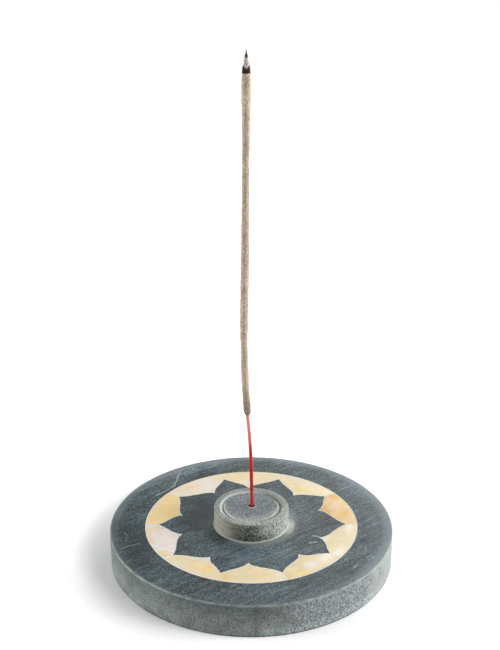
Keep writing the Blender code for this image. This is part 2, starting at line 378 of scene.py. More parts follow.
def top_painted_sheen(s, stray):
    """Painted sheen: lighter patches that stand in for reflections in the polish, in front and right of the
    boss and round most of the rim.
    """
    patches = [
        (0.50, (0.0, -17.0), 12.0, 8.0, 0.0), (0.34, (1.0, -24.0), 12.0, 7.0, 0.0),
        (0.22, (-10.5, -17.0), 7.0, 5.0, 0.0), (0.20, (11.0, -18.0), 8.0, 5.0, 0.0),
        (0.24, (20.0, 1.0), 7.0, 5.0, 90.0), (0.38, (-24.0, 40.0), 8.0, 5.0, 30.0),
        (0.45, (18.0, 11.0), 8.5, 4.0, 100.0), (0.85, (-16.0, 45.5), 10.0, 4.5, 18.0),
        (0.50, (-33.0, 35.0), 14.0, 6.5, 45.0), (0.40, (38.0, 26.0), 14.0, 5.5, 122.0),
        (0.34, (15.0, 45.0), 14.0, 4.0, -16.0), (0.10, (0.0, -44.0), 22.0, 6.0, 0.0),
        (0.26, (44.0, 0.0), 12.0, 4.0, 90.0), (0.24, (42.0, -20.0), 12.0, 4.0, 65.0),
    ]
    return all_blots(s, patches, stray, "ADD")


def top_dark_and_painted_shade(s, stray):
    """Darker patches: painted shade left of the boss, where its shadow falls, and darker patches at the far
    left and right of the rim.
    """
    patches = [
        (1.0, (-18.0, 8.0), 14.0, 7.0, 90.0), (0.58, (-43.0, -12.0), 26.0, 10.0, 100.0),
        (0.3, (44.0, -8.0), 20.0, 6.0, 80.0), (0.8, (-20.0, 0.0), 9.0, 7.0, 0.0),
    ]
    return all_blots(s, patches, stray, "MAXIMUM")


def top_marks(s):
    """Veins and scratches in the polish, each (start, end, bow, width, strength), in millimetres."""
    warp = s.stray(s.noise(4.0 * MM, 3.0), 1.8 * MM)
    marks = [
        ((-27.6, 38.6), (-30.2, 24.4), 0.5, 0.62, 1.25), ((-29.4, 26.6), (-36.0, 19.0), 0.6, 0.56, 1.1),
        ((-45.2, -17.2), (-38.2, -13.4), 0.1, 0.34, 0.9), ((-23.6, -7.8), (-17.4, -6.4), 0.2, 0.6, 0.45),
        ((-44.4, -6.0), (-43.2, -12.4), 0.2, 0.34, 0.4), ((-6.4, -39.4), (-5.2, -38.6), 0.0, 0.4, 0.9),
        ((19.8, -13.7), (22.9, -12.3), 0.1, 0.55, 1.9), ((21.0, -8.5), (24.4, -10.3), 0.1, 0.50, 1.8),
        ((33.8, -29.2), (35.9, -26.3), 0.1, 0.32, 1.0),
    ]
    lines = 0.0
    for start, end, bend, width, strength in marks:
        path = [(x * MM, y * MM) for x, y in (start, end)]
        line = s.stroke(*path, bend * MM, width * MM, warp)
        lines = s.most(lines, s.times(line, strength))
    return lines


def polished_tone(s, radius):
    """The polished top: dark slate blue with grain, painted sheen, darker blots with painted shade left of
    the boss, painted sheen round the rim, and its marks.
    """
    cloud = s.noise(11.0 * MM, 4.0, 0.6, 0.5)
    fine = s.noise(0.5 * MM, 3.0, 0.8)
    drawn = s.noise(0.45 * MM, 2.0, 0.7, 0.0, 38.0, (2.6, 1.0, 1.0))
    grain = s.add(s.times(fine, 0.6), s.times(drawn, 0.4))
    streak = s.noise(1.5 * MM, 4.0, 0.65, 0.4, 38.0, (9.0, 1.0, 1.0))
    tint = s.noise(2.0 * MM, 2.0, 0.5, shift=(0.03, 0.01, 0.0))
    colour = s.ramp(grain, [(0.43, (0.0, 0.006, 0.010)), (0.5, (0.023, 0.048, 0.060)),
                            (0.57, (0.112, 0.151, 0.167))])
    spots = s.band(s.noise(0.8 * MM, 3.0, 0.8), 0.40, 0.60, -0.75, 0.75)
    spotted = s.times(s.band(s.x, 8.0 * MM, -30.0 * MM), spots)
    colour = s.mix(s.band(tint, 0.42, 0.6, 0.0, 0.5), colour, s.tint(colour, (1.05, 1.1, 0.88)))
    amount = s.add(s.band(cloud, 0.3, 0.7, 0.7, 1.3), s.band(streak, 0.38, 0.62, -0.5, 0.5), spotted)
    stray = s.stray(cloud, 1.4)
    # Painted shade left of the boss, together with darker patches near the rim.
    dark = top_dark_and_painted_shade(s, stray)
    amount = s.times(amount, s.band(dark, 0.0, 1.0, 1.0, 0.28))
    colour = s.shade(colour, amount)
    colour = s.mix(dark, colour, s.tint(colour, (0.55, 1.0, 1.12)))
    # Painted sheen: a paler tone mixed in where the polish would reflect the back lights.
    painted_sheen_tone = s.ramp(grain, [(0.42, (0.065, 0.100, 0.122)), (0.58, (0.250, 0.330, 0.368))])
    painted_sheen_tone = s.shade(painted_sheen_tone, s.band(streak, 0.38, 0.62, 0.75, 1.25))
    colour = s.mix(top_painted_sheen(s, stray), colour, painted_sheen_tone)
    # Painted sheen round the rim: lighter towards the back and right, and a little at the far left.
    behind = s.add(s.times(s.x, 0.6), s.times(s.y, 0.8))
    painted_rim_sheen = s.band(s.add(radius, s.times(cloud, 1.6 * MM)), 46.0 * MM, 50.0 * MM)
    leftward = s.band(s.x, -38.0 * MM, -49.0 * MM, 0.0, 0.28)
    painted_rim_sheen = s.times(painted_rim_sheen, s.add(s.band(behind, -34.0 * MM, 12.0 * MM, 0.08, 0.75), leftward))
    colour = s.mix(painted_rim_sheen, colour, (0.21, 0.255, 0.27))

    broken = s.band(grain, 0.38, 0.55, 0.3, 1.0)
    colour = s.mix(s.times(top_marks(s), broken, 0.85), colour, (0.34, 0.38, 0.37))
    return colour, grain


def side_tone(s, grain):
    """The sawn side: greenish grey with upright streaks, coarsely speckled at the right, pale beyond as
    painted light, with painted light low down and painted shade high up at the front, and painted shade at
    its foot.
    """
    cloud = s.noise(7.0 * MM, 4.0, 0.6, 0.6)
    upright = s.noise(0.7 * MM, 3.0, 0.6, 0.0, 0.0, (1.0, 1.0, 6.0))
    colour = s.ramp(grain, [(0.38, (0.085, 0.104, 0.097)), (0.5, (0.180, 0.202, 0.193)),
                            (0.62, (0.290, 0.318, 0.300))])
    mossy = s.band(s.noise(2.4 * MM, 3.0, 0.7, 0.6, shift=(0.05, 0.0, 0.0)), 0.52, 0.66, 0.0, 0.4)
    colour = s.mix(mossy, colour, s.tint(colour, (0.62, 0.70, 0.60)))
    streaks = s.band(upright, 0.35, 0.65, -0.07, 0.07)
    colour = s.shade(colour, s.add(s.band(cloud, 0.3, 0.7, 0.8, 1.2), streaks))
    blue = s.times(s.band(s.z, 7.5 * MM, 11.0 * MM), s.window(s.x, -26.0 * MM, 0.0, 9.0 * MM))
    colour = s.mix(s.times(blue, 0.55), colour, s.tint(colour, (0.55, 0.66, 0.74)))
    # Painted light and shade: lighter low down and darker near the top, most at the front, as if lit from
    # the floor.
    painted_light_gradient = s.band(s.z, 2.0 * MM, 10.5 * MM, 1.0, -1.0)
    colour = s.shade(colour, s.add(1.0, s.times(s.band(s.x, 5.0 * MM, 25.0 * MM, 0.22, 0.08), painted_light_gradient)))

    drifted = s.add(s.x, s.stray(cloud, 22.0 * MM))
    coarse = s.window(drifted, 16.0 * MM, 39.0 * MM, 9.0 * MM)
    salt = s.noise(0.62 * MM, 2.0, 0.8, shift=(0.0, 0.0, 0.02))
    peppered = s.ramp(salt, [(0.36, (0.045, 0.056, 0.062)), (0.5, (0.20, 0.222, 0.232)),
                             (0.64, (0.42, 0.45, 0.45))])
    colour = s.mix(s.times(coarse, 0.8), colour, peppered)
    # Painted light: the side's right end, which faces the key light, is made pale.
    pale = s.band(drifted, 38.0 * MM, 45.0 * MM, 0.0, 0.6)
    colour = s.mix(pale, colour, (0.39, 0.41, 0.395))
    pits = s.times(s.band(s.cells(3.4 * MM), 0.17, 0.07), s.band(cloud, 0.5, 0.6), 0.7)
    colour = s.mix(pits, colour, (0.035, 0.040, 0.036))
    # Painted light: lighter low down at the front right, as if lit from the floor.
    painted_low_light = s.times(s.band(s.z, 4.5 * MM, 2.0 * MM), s.window(s.x, 8.0 * MM, 38.0 * MM, 8.0 * MM))
    colour = s.shade(colour, s.band(painted_low_light, 0.0, 1.0, 1.0, 1.3))
    # Painted shade: a dark brownish line at the foot, where the side meets the floor.
    painted_foot_shade = s.band(s.z, 0.9 * MM, 0.2 * MM, 0.0, 0.75)
    return s.mix(painted_foot_shade, colour, (0.060, 0.055, 0.045))


def boss_side_tone(s, grain):
    """The boss's side: speckled beige grey at the left, nearly black in front, dusty at the right, with
    painted shade low at the front.
    """
    turned = s.noise(0.45 * MM, 2.0, 0.5, 0.0, 0.0, (12.0, 12.0, 1.0))
    beige = s.ramp(turned, [(0.35, (0.165, 0.165, 0.132)), (0.65, (0.31, 0.31, 0.262))])
    salt = s.noise(0.5 * MM, 2.0, 0.85, shift=(0.0, 0.0, 0.07))
    dark = s.ramp(salt, [(0.42, (0.008, 0.012, 0.009)), (0.5, (0.100, 0.118, 0.096)),
                         (0.58, (0.38, 0.41, 0.36))])
    dusty = s.ramp(salt, [(0.40, (0.05, 0.06, 0.05)), (0.47, (0.29, 0.31, 0.285)),
                          (0.60, (0.50, 0.52, 0.49))])
    beige = s.shade(beige, s.band(s.x, -12.0 * MM, -3.0 * MM, 1.25, 0.62))
    beige = s.shade(beige, s.band(salt, 0.42, 0.58, 0.80, 1.2))
    colour = s.mix(s.band(s.x, -6.0 * MM, -1.5 * MM), beige, dark)
    colour = s.mix(s.band(s.x, 0.0, 6.0 * MM), colour, dusty)
    low = s.band(s.z, DISC_TOP + 4.0 * MM, DISC_TOP + 1.5 * MM)
    # Painted shade: darker low on the boss's front, near its foot.
    painted_boss_foot_shade = s.times(s.window(s.x, -2.0 * MM, 6.0 * MM, 4.0 * MM), low)
    colour = s.shade(colour, s.band(painted_boss_foot_shade, 0.0, 1.0, 1.0, 0.62))
    edge = s.band(s.z, BOSS_TOP - 1.3 * MM, BOSS_TOP - 0.2 * MM, 0.0, 0.6)
    return s.mix(edge, colour, s.ramp(grain, [(0.38, (0.16, 0.18, 0.17)), (0.62, (0.36, 0.38, 0.36))]))


def boss_top_tone(s, radius, grain):
    """The boss's top: a half-polished middle, a dusty groove with painted light at its left, and a rim
    whose pale grit in front is partly painted light.
    """
    specks = s.noise(0.42 * MM, 3.0, 0.8, 0.0, 12.0, (1.25, 1.0, 1.0), (0.01, 0.0, 0.0))
    patchy = s.noise(2.2 * MM, 3.0, 0.6, 0.5, 8.0, (2.0, 1.0, 1.0))
    colour = s.ramp(specks, [(0.39, (0.060, 0.078, 0.088)), (0.5, (0.165, 0.198, 0.212)),
                             (0.61, (0.33, 0.355, 0.355))])
    colour = s.shade(colour, s.band(patchy, 0.35, 0.65, 0.9, 1.14))
    blush = s.noise(1.3 * MM, 2.0, 0.5, shift=(0.0, 0.02, 0.0))
    colour = s.mix(s.band(blush, 0.5, 0.68, 0.0, 0.35), colour, s.tint(colour, (1.07, 0.99, 1.02)))
    rim = s.ramp(specks, [(0.38, (0.13, 0.15, 0.145)), (0.5, (0.25, 0.27, 0.265)),
                          (0.62, (0.42, 0.44, 0.42))])
    worn = s.add(radius, s.stray(patchy, 3.0 * MM), s.times(s.y, -0.19))
    colour = s.mix(s.band(worn, 7.6 * MM, 9.6 * MM), colour, rim)
    # Partly dust and partly painted light: pale grit on the inner disc's edge at the front and right, where
    # that wall catches the key light.
    forward = s.band(s.add(s.x, s.times(s.y, -1.3)), 2.0 * MM, 13.0 * MM)
    floury_and_painted_light = s.times(s.band(radius, 8.6 * MM, 10.4 * MM), forward)
    coarse = s.noise(0.65 * MM, 2.0, 0.8)
    salted = s.ramp(coarse, [(0.43, (0.15, 0.17, 0.15)), (0.57, (0.56, 0.58, 0.54))])
    colour = s.mix(s.times(floury_and_painted_light, 0.85), colour, salted)
    in_groove = s.times(s.window(radius, GROOVE_INNER - 0.1 * MM, GROOVE_OUTER + 0.15 * MM, 0.25 * MM),
                        s.band(s.z, BOSS_TOP - 0.02 * MM, BOSS_TOP - 0.2 * MM))
    # Dust in the groove, with painted light: paler at the left, where the groove's outer wall catches the
    # key light, and darker towards the back.
    dust = s.mix(s.band(s.x, -2.0 * MM, 6.0 * MM), (0.62, 0.64, 0.60), (0.42, 0.44, 0.38))
    dust = s.shade(dust, s.band(s.y, 2.0 * MM, 10.0 * MM, 1.0, 0.76))
    dust = s.mix(s.times(floury_and_painted_light, 0.5), dust, salted)
    return s.mix(s.times(in_groove, s.band(grain, 0.35, 0.55, 0.65, 1.0)), colour, dust)


def dusted_foot(s, colour, radius, grain):
    """Stone dust on the disc about the boss's foot, thickest at the front and right."""
    low = s.band(s.z, DISC_TOP + 0.45 * MM, DISC_TOP + 0.15 * MM)
    drift = s.stray(s.noise(3.5 * MM, 4.0, 0.6), 3.5 * MM)
    halo = s.band(s.add(radius, drift), 18.6 * MM, 13.8 * MM)
    rightward = s.band(s.x, -14.0 * MM, 11.0 * MM, 0.05, 0.95)
    halo = s.times(halo, rightward, s.band(grain, 0.42, 0.56, 0.5, 1.0))
    colour = s.mix(s.times(halo, low), colour, (0.33, 0.355, 0.345))

    sweep = s.window(radius, BOSS_RADIUS, BOSS_RADIUS + 1.5 * MM, 1.3 * MM)
    heap = s.times(sweep, s.spot((15.0 * MM, -3.2 * MM), 2.0 * MM, 5.0 * MM))
    heap = s.times(heap, s.band(drift, -0.7 * MM, 0.7 * MM, 0.6, 1.0), s.band(grain, 0.40, 0.52, 0.55, 1.0))
    colour = s.mix(s.times(heap, low), colour, (0.56, 0.58, 0.54))

    foot = s.window(radius, BOSS_RADIUS, BOSS_RADIUS + 0.35 * MM, 0.25 * MM)
    foot = s.times(foot, low, s.band(s.y, 4.0 * MM, -6.0 * MM, 0.2, 0.8))
    return s.mix(foot, colour, (0.52, 0.54, 0.50))


def hole_tone(s, colour, on_boss_top, grain):
    """A worn pale lip and a faint red stain about the stick's hole, and painted shade down its bore."""
    reach = s.radius(HOLE_DRIFT)
    lip = s.times(s.window(reach, HOLE_RADIUS, HOLE_RADIUS + 0.5 * MM, 0.2 * MM), on_boss_top)
    colour = s.mix(s.times(lip, s.band(s.y, 0.6 * MM, -0.8 * MM, 0.2, 0.9)), colour, (0.66, 0.52, 0.48))
    stain = s.times(s.spot((-1.9 * MM, 0.4 * MM), 0.4 * MM, 1.6 * MM), on_boss_top)
    stain = s.times(stain, s.band(grain, 0.4, 0.55), 0.25)
    colour = s.mix(stain, colour, (0.26, 0.17, 0.15))
    # Painted shade: near-black just inside the hole, where the light does not reach.
    painted_bore_shade = s.times(s.band(reach, HOLE_RADIUS + 0.12 * MM, HOLE_RADIUS + 0.04 * MM),
                    s.band(s.z, BOSS_TOP + 0.05 * MM, BOSS_TOP - 0.06 * MM))
    return s.mix(painted_bore_shade, colour, (0.006, 0.004, 0.004))


def stone_material():
    s = Shader("soapstone")
    radius = s.radius()
    polished, grain = polished_tone(s, radius)
    on_side = s.band(radius, DISC_RADIUS - 0.35 * MM, DISC_RADIUS - 0.15 * MM)
    on_side = s.times(on_side, s.band(s.z, DISC_TOP - 0.15 * MM, DISC_TOP - 0.4 * MM))
    on_boss = s.times(s.band(radius, BOSS_RADIUS + 0.5 * MM, BOSS_RADIUS + 0.2 * MM),
                      s.band(s.z, DISC_TOP + 0.1 * MM, DISC_TOP + 0.4 * MM))
    on_boss_top = s.band(s.z, BOSS_TOP - 1.0 * MM, BOSS_TOP - 0.9 * MM)
    on_boss_top = s.times(on_boss_top, s.band(radius, BOSS_RADIUS - 0.1 * MM, BOSS_RADIUS - 0.3 * MM))

    colour = s.mix(on_side, polished, s.shade(side_tone(s, grain), 0.77))
    colour = s.mix(on_boss, colour, s.shade(boss_side_tone(s, grain), 0.91))
    colour = s.mix(on_boss_top, colour, s.shade(boss_top_tone(s, radius, grain), 1.2))

    worn = s.times(s.band(radius, DISC_RADIUS - 0.75 * MM, DISC_RADIUS - 0.35 * MM),
                   s.band(s.z, DISC_TOP - 0.75 * MM, DISC_TOP - 0.45 * MM))
    worn = s.times(worn, s.band(s.noise(3.0 * MM, 3.0), 0.35, 0.6, 0.45, 1.0))
    colour = s.mix(s.times(worn, 0.65), colour, (0.34, 0.37, 0.365))
    colour = dusted_foot(s, colour, radius, grain)
    colour = hole_tone(s, colour, on_boss_top, grain)

    rough = s.most(on_side, on_boss)
    roughness = s.add(s.times(rough, 0.4), s.band(grain, 0.38, 0.62, 0.26, 0.42))
    height = s.times(s.band(grain, 0.3, 0.55), s.band(rough, 0.0, 1.0, 0.5, 1.0))
    return s.finish(colour, roughness, height, 0.10 * MM, 0.42)


# ---- other materials
def cement_material():
    """Off-white cement, creamier round the back."""
    s = Shader("inlay_filler")
    mottle = s.noise(0.8 * MM, 3.0)
    colour = s.ramp(mottle, [(0.35, (0.82, 0.79, 0.71)), (0.6, (0.94, 0.93, 0.89))])
    colour = s.mix(s.band(s.y, 5.0 * MM, 28.0 * MM, 0.0, 0.7), colour, (0.80, 0.69, 0.48))
    return s.finish(colour, s.band(mottle, 0.3, 0.7, 0.55, 0.7), mottle, 0.04 * MM)


def pearl_material(index, base, patches):
    """Shell of one tone with soft patches of others, drawn out as the shell's layers are."""
    s = Shader(f"shell_{index + 1:02d}")
    drift = s.noise(6.0 * MM, 3.0, 0.5, 0.8)
    silk = s.noise(0.9 * MM, 3.0, 0.5, 0.3, 35.0, (3.0, 1.0, 1.0))
    stray = s.stray(drift, 1.5)
    colour = base
    for tone, radius, angle, along, across, lean in patches:
        centre = polar(radius * MM, radians(angle))
        colour = s.mix(s.blot(centre, along * MM, across * MM, lean, stray), colour, tone)
    sheen = s.add(s.band(silk, 0.3, 0.7, 0.96, 1.03), s.band(drift, 0.3, 0.7, -0.03, 0.03))
    colour = s.shade(colour, sheen)
    return s.finish(colour, s.band(silk, 0.3, 0.7, 0.14, 0.24), s.noise(4.0 * MM, 2.0), 0.05 * MM, 0.5)


def bamboo_material(burnt_from):
    """Red dye with painted shade lower down and painted light below the paste, painted shade where it goes
    into the hole, and coal above the burnt height.
    """
    s = Shader("dyed_bamboo")
    fibre = s.noise(0.2 * MM, 3.0, 0.6, 0.2, 0.0, (1.0, 1.0, 30.0))
    blotch = s.noise(3.0 * MM, 2.0)
    red = s.ramp(fibre, [(0.35, (0.22, 0.002, 0.005)), (0.5, (0.36, 0.006, 0.010)),
                         (0.65, (0.46, 0.03, 0.03))])
    red = s.mix(s.band(blotch, 0.5, 0.75, 0.0, 0.2), red, (0.46, 0.09, 0.08))
    # Painted light and shade: darker lower down the stick and paler near the paste.
    red = s.mix(s.band(s.z, 32.0 * MM, 22.0 * MM, 0.0, 0.5), red, (0.33, 0.050, 0.050))
    red = s.mix(s.band(s.z, 39.0 * MM, 49.0 * MM, 0.0, 0.7), red, (0.56, 0.23, 0.20))
    # Painted shade: near-black where the stick goes into the hole.
    painted_hole_shade = s.window(s.z, BOSS_TOP - 0.7 * MM, BOSS_TOP + 0.05 * MM, 0.35 * MM)
    red = s.mix(painted_hole_shade, red, (0.020, 0.003, 0.003))
    coal = s.ramp(fibre, [(0.35, (0.010, 0.009, 0.008)), (0.75, (0.11, 0.10, 0.095))])
    colour = s.mix(s.band(s.z, burnt_from, burnt_from + 0.3 * MM), red, coal)
    return s.finish(colour, s.band(fibre, 0.3, 0.7, 0.45, 0.65), fibre, 0.05 * MM, 0.25)


def paste_material():
    s = Shader("incense_paste")
    lumps = s.noise(2.8 * MM, 4.0, 0.6, 0.0, 0.0, (1.0, 1.0, 1.6))
    grain = s.noise(0.55 * MM, 3.0, 0.75)
    colour = s.ramp(grain, [(0.34, (0.19, 0.140, 0.100)), (0.5, (0.335, 0.262, 0.200)),
                            (0.66, (0.45, 0.385, 0.320))])
    colour = s.shade(colour, s.band(lumps, 0.3, 0.7, 0.85, 1.15))
    flecks = s.band(s.noise(0.9 * MM, 2.0, 0.6, shift=(0.0, 0.0, 0.1)), 0.58, 0.7, 0.0, 0.5)
    colour = s.mix(flecks, colour, (0.22, 0.12, 0.06))
    low = s.band(s.z, 66.0 * MM, 55.0 * MM, 1.0, 0.6)
    colour = s.shade(colour, low)
    return s.finish(colour, s.band(grain, 0.3, 0.7, 0.85, 0.95), grain, 0.15 * MM, 0.25)


def char_material():
    s = Shader("charred_paste")
    grain = s.noise(0.4 * MM, 4.0, 0.7)
    colour = s.ramp(grain, [(0.38, (0.006, 0.004, 0.003)), (0.55, (0.030, 0.018, 0.011)),
                            (0.68, (0.10, 0.07, 0.05))])
    return s.finish(colour, s.band(grain, 0.3, 0.7, 0.8, 0.95), grain, 0.12 * MM, 0.25)


def ash_material():
    s = Shader("ash")
    grain = s.noise(0.4 * MM, 4.0, 0.7)
    flake = s.noise(0.9 * MM, 3.0, 0.6)
    colour = s.ramp(grain, [(0.38, (0.16, 0.14, 0.12)), (0.5, (0.31, 0.28, 0.25)),
                            (0.62, (0.46, 0.43, 0.39))])
    colour = s.mix(s.band(flake, 0.55, 0.4, 0.0, 0.3), colour, (0.20, 0.17, 0.14))
    return s.finish(colour, s.band(grain, 0.3, 0.7, 0.85, 0.95), grain, 0.12 * MM, 0.2)


# ---- stone
def profile_arc(centre_radius, centre_height, size, start, end, steps):
    points = []
    for i in range(steps + 1):
        angle = radians(start + (end - start) * i / steps)
        points.append((centre_radius + size * cos(angle), centre_height + size * sin(angle)))
    return points


def boss_profile():
    """Half section from the hole's floor, over the boss, to the foot of its fillet."""
    floor = BOSS_TOP - GROOVE_DEPTH
    soft = GROOVE_ARRIS
    lip = BOSS_TOP - 0.15 * MM
    points = [(HOLE_RADIUS * 0.5, HOLE_FLOOR), (HOLE_RADIUS, HOLE_FLOOR)]
    points += [(HOLE_RADIUS, HOLE_FLOOR + (lip - HOLE_FLOOR) * i / 4) for i in range(1, 5)]
    points += [(HOLE_RADIUS + 0.06 * MM, BOSS_TOP)]
    middle = GROOVE_INNER - 0.35 * MM - HOLE_RADIUS
    points += [(HOLE_RADIUS + middle * i / 14, BOSS_TOP) for i in range(2, 15)]

    points += profile_arc(GROOVE_INNER - soft, BOSS_TOP - soft, soft, 85, 20, 5)
    points += [(GROOVE_INNER + 0.12 * MM, BOSS_TOP - 0.42 * MM)]
    points += [(GROOVE_INNER + 0.3 * MM, floor + 0.16 * MM)]
    points += profile_arc(GROOVE_INNER + 0.6 * MM, floor + soft, soft, 220, 310, 5)
    points += [(GROOVE_OUTER - 0.62 * MM, BOSS_TOP - 0.42 * MM)]
    points += [(GROOVE_OUTER - 0.3 * MM, BOSS_TOP - 0.18 * MM)]
    points += profile_arc(GROOVE_OUTER + 0.1 * MM, BOSS_TOP - soft, soft, 128, 92, 3)

    border = BOSS_RADIUS - 0.3 * MM - GROOVE_OUTER
    points += [(GROOVE_OUTER + border * i / 4, BOSS_TOP) for i in range(1, 4)]
    side_top, side_foot = BOSS_TOP - BOSS_ARRIS, DISC_TOP + BOSS_FILLET
    points += profile_arc(BOSS_RADIUS - BOSS_ARRIS, side_top, BOSS_ARRIS, 90, 0, 5)
    points += [(BOSS_RADIUS, side_top + (side_foot - side_top) * i / 12) for i in range(1, 12)]
    points += profile_arc(BOSS_RADIUS + BOSS_FILLET, side_foot, BOSS_FILLET, 180, 270, 6)
    return points


def rim_profile():
    """Half section from the inlay ring's edge over the rim, down the side and under the disc."""
    edge = RIM_ARRIS
    flat = DISC_RADIUS - 3.2 * MM
    points = [(INLAY_RADIUS + (flat - INLAY_RADIUS) * i / 16, DISC_TOP) for i in range(17)]
    for i in range(1, 7):
        share = i / 6
        points.append((flat + (DISC_RADIUS - edge - flat) * share, DISC_TOP - RIM_DROP * share**2))
    top, foot = DISC_TOP - RIM_DROP - edge, 0.5 * MM
    points += profile_arc(DISC_RADIUS - edge, top, edge, 75, 0, 4)
    points += [(DISC_RADIUS, top + (foot - top) * i / 26) for i in range(1, 27)]
    points += profile_arc(DISC_RADIUS - FOOT_ROUND, FOOT_ROUND, FOOT_ROUND, 0, -90, 4)
    points += [(DISC_RADIUS * share, 0.0) for share in (0.9, 0.7, 0.5, 0.25)]
    return points


def weathered(x, y, z):
    """Hand-finished stone: the sides wander inwards, the top dips, the hole is a little off centre."""
    radius = hypot(x, y)
    if radius < 1e-6:
        return (x, y, z)
    on_boss = radius < BOSS_RADIUS + BOSS_FILLET
    if radius < DRIFT_NONE:
        share = min(1.0, (DRIFT_NONE - radius) / (DRIFT_NONE - DRIFT_FULL))
        return (x + HOLE_DRIFT[0] * share, y + HOLE_DRIFT[1] * share, z)
    if z < 0.05 * MM:
        return (x, y, z)
    amount = (0.04 if on_boss else 0.02) * MM
    inward = -abs(amount * bumps(x, y, z, 6.0 * MM, 1.0))
    inward -= 0.02 * MM * abs(bumps(x, y, z, 1.2 * MM, 5.0))
    scale = 1.0 + inward / radius
    sink = 0.03 * MM * abs(bumps(x, y, z, 8.0 * MM, 9.0)) if z > DISC_TOP - 0.05 * MM else 0.0
    if abs(radius - INLAY_RADIUS) < 0.5 * MM:
        scale = 1.0
    return (x * scale, y * scale, z - sink)


def build_stone(material):
    """One turned mesh. Its rings share the lotus outline's angles, so the recess is cut cleanly."""
    outline = lotus_outline()
    angles = [atan2(y, x) for x, y in outline]
    bm = bmesh.new()
    rings = []

    def turned(radius, height):
        rings.append(add_ring(bm, [weathered(*polar(radius, angle), height) for angle in angles]))

    for radius, height in boss_profile():
        turned(radius, height)
    foot = BOSS_RADIUS + BOSS_FILLET
    for i in range(1, PETAL_RINGS + 1):
        share = i / PETAL_RINGS
        ring = []
        for (x, y), angle in zip(outline, angles):
            reach = foot + (hypot(x, y) - foot) * share
            px, py = polar(reach, angle)
            ring.append((px, py, DISC_TOP) if i == PETAL_RINGS else weathered(px, py, DISC_TOP))
        rings.append(add_ring(bm, ring))
    rings.append(add_ring(bm, [(x, y, RECESS_FLOOR) for x, y in outline]))
    rings.append(add_ring(bm, [(*polar(INLAY_RADIUS, angle), RECESS_FLOOR) for angle in angles]))
    for radius, height in rim_profile():
        turned(radius, height)
    for first, second in zip(rings, rings[1:]):
        bridge(bm, first, second)
    fan(bm, rings[0], (*HOLE_DRIFT, HOLE_FLOOR))
    fan(bm, rings[-1], (0.0, 0.0, 0.0))
    return new_object("soapstone_holder", bm, "base", "stone_base", material)


# ---- inlay
def sector_boundary(k, joint, filler, reach):
    """Closed boundary of the space for one shell piece, or of the piece itself when joint is set."""
    right = edge_points(k, k, 1, filler, reach)
    left = list(reversed(edge_points(k + 1, k, -1, filler, reach)))
    first_tip, second_tip = lotus_point(TIPS[k]), lotus_point(TIPS[(k + 1) % PETALS])
    start = atan2(first_tip[1], first_tip[0])
    end = start + (atan2(second_tip[1], second_tip[0]) - start) % TURN
    rim_radius = INLAY_RADIUS - filler
    angle_joint = joint / rim_radius

    def seam(tip, angle, sign):
        points = []
        for i in range(SEAM_STEPS):
            share = (i + 1) / (SEAM_STEPS + 1)
            radius = hypot(*tip) + filler + (rim_radius - hypot(*tip) - filler) * share
            x, y = polar(radius, angle)
            points.append((x - sign * joint * sin(angle), y + sign * joint * cos(angle)))
        return points

    rim = []
    for i in range(RIM_STEPS + 1):
        share = i / RIM_STEPS
        rim.append(polar(rim_radius, end - angle_joint - (end - start - 2.0 * angle_joint) * share))
    boundary = right + left[1 if reach == 1.0 else 0:]
    boundary += seam(second_tip, end, -1) + rim + list(reversed(seam(first_tip, start, 1)))
    return boundary


def corner_fixed(boundary, k, joint, filler):
    """Move the two tip corners so that they keep the joint's width from the seam."""
    for index, tip, sign in ((0, TIPS[k], 1), (2 * EDGE_STEPS + 1, TIPS[(k + 1) % PETALS], -1)):
        x, y = lotus_point(tip)
        angle = atan2(y, x)
        px, py = polar(hypot(x, y) + 0.6 * filler, angle)
        boundary[index] = (px - sign * joint * sin(angle), py + sign * joint * cos(angle))
    return boundary


def build_pearl(k, material):
    boundary = corner_fixed(sector_boundary(k, JOINT, FILLER, NIB_CUT), k, JOINT, FILLER)
    centre = [sum(p[axis] for p in boundary) / len(boundary) for axis in (0, 1)]
    bm = bmesh.new()

    def loop(height, inset):
        points = []
        for x, y in boundary:
            dx, dy = x - centre[0], y - centre[1]
            scale = 1.0 - inset / hypot(dx, dy)
            points.append((centre[0] + dx * scale, centre[1] + dy * scale, height))
        return add_ring(bm, points)

    bottom = loop(PEARL_BOTTOM, 0.0)
    upper = loop(DISC_TOP - SHELL_ARRIS, 0.0)
    top = loop(DISC_TOP, SHELL_ARRIS)
    bridge(bm, bottom, upper)
    bridge(bm, upper, top)
    bm.faces.new(bottom)
    bm.faces.new(top)
    bmesh.ops.triangulate(bm, faces=[face for face in bm.faces if len(face.verts) > 4])
    name = f"shell_piece_{k + 1:02d}"
    return new_object(name, bm, "base", PEARL_NAMES[k], material, 30.0)


